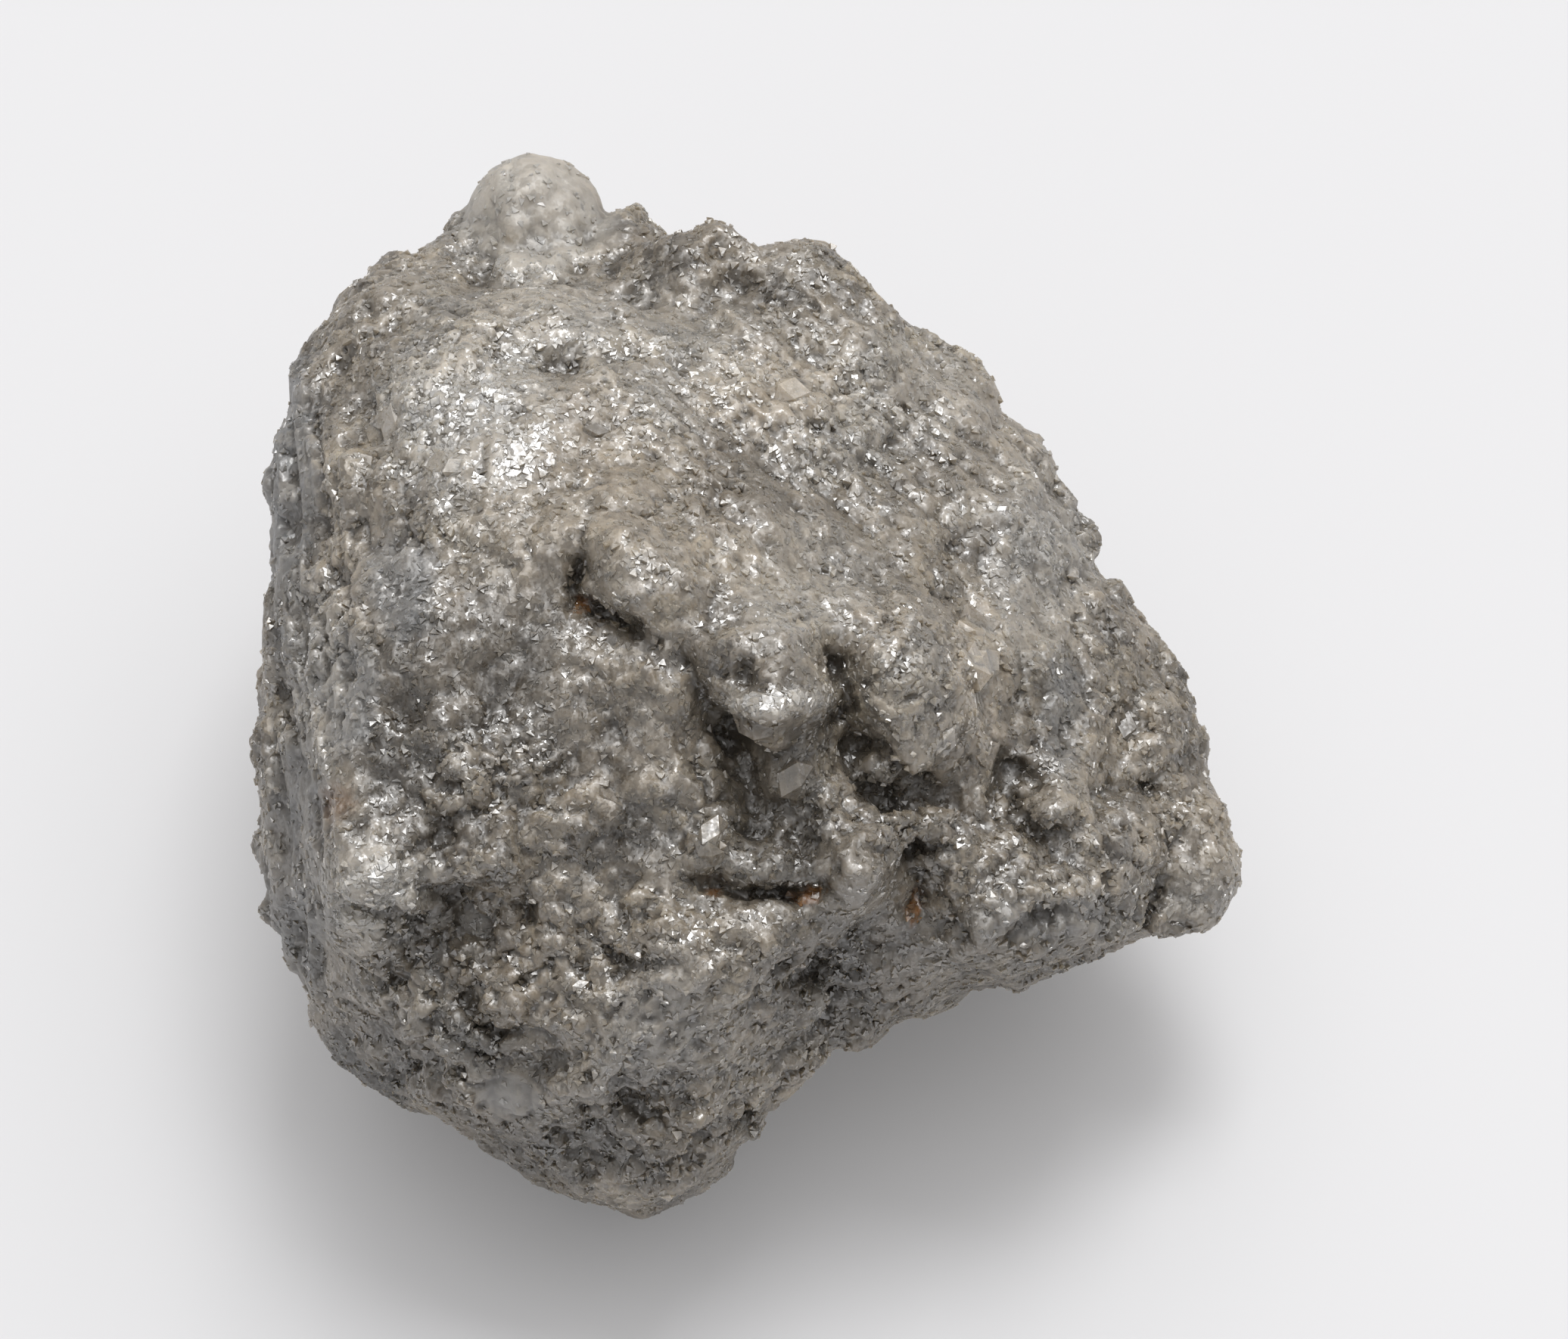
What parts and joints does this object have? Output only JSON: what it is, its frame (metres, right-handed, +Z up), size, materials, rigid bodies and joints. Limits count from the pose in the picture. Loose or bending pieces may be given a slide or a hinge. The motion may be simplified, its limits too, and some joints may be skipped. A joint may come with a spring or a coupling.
{
  "type": "rough diamond",
  "caption": "Knobbly grey rough diamond, grown together from small crystals, with a round-headed nub, deep clefts and a flat resting face.",
  "frame": {"origin": "middle of the stone's width and depth, on the surface that it lies on", "axes": "+Z up, -Y towards the side that shows most clefts, +Y towards the nub, +X towards the blunt corner"},
  "size_m": [0.013, 0.0142, 0.0096],
  "materials": {
    "rough_diamond": "sparkling rough crystal"
  },
  "bodies": {
    "root": {"rough_diamond": "rough_diamond"}
  },
  "joints": []
}
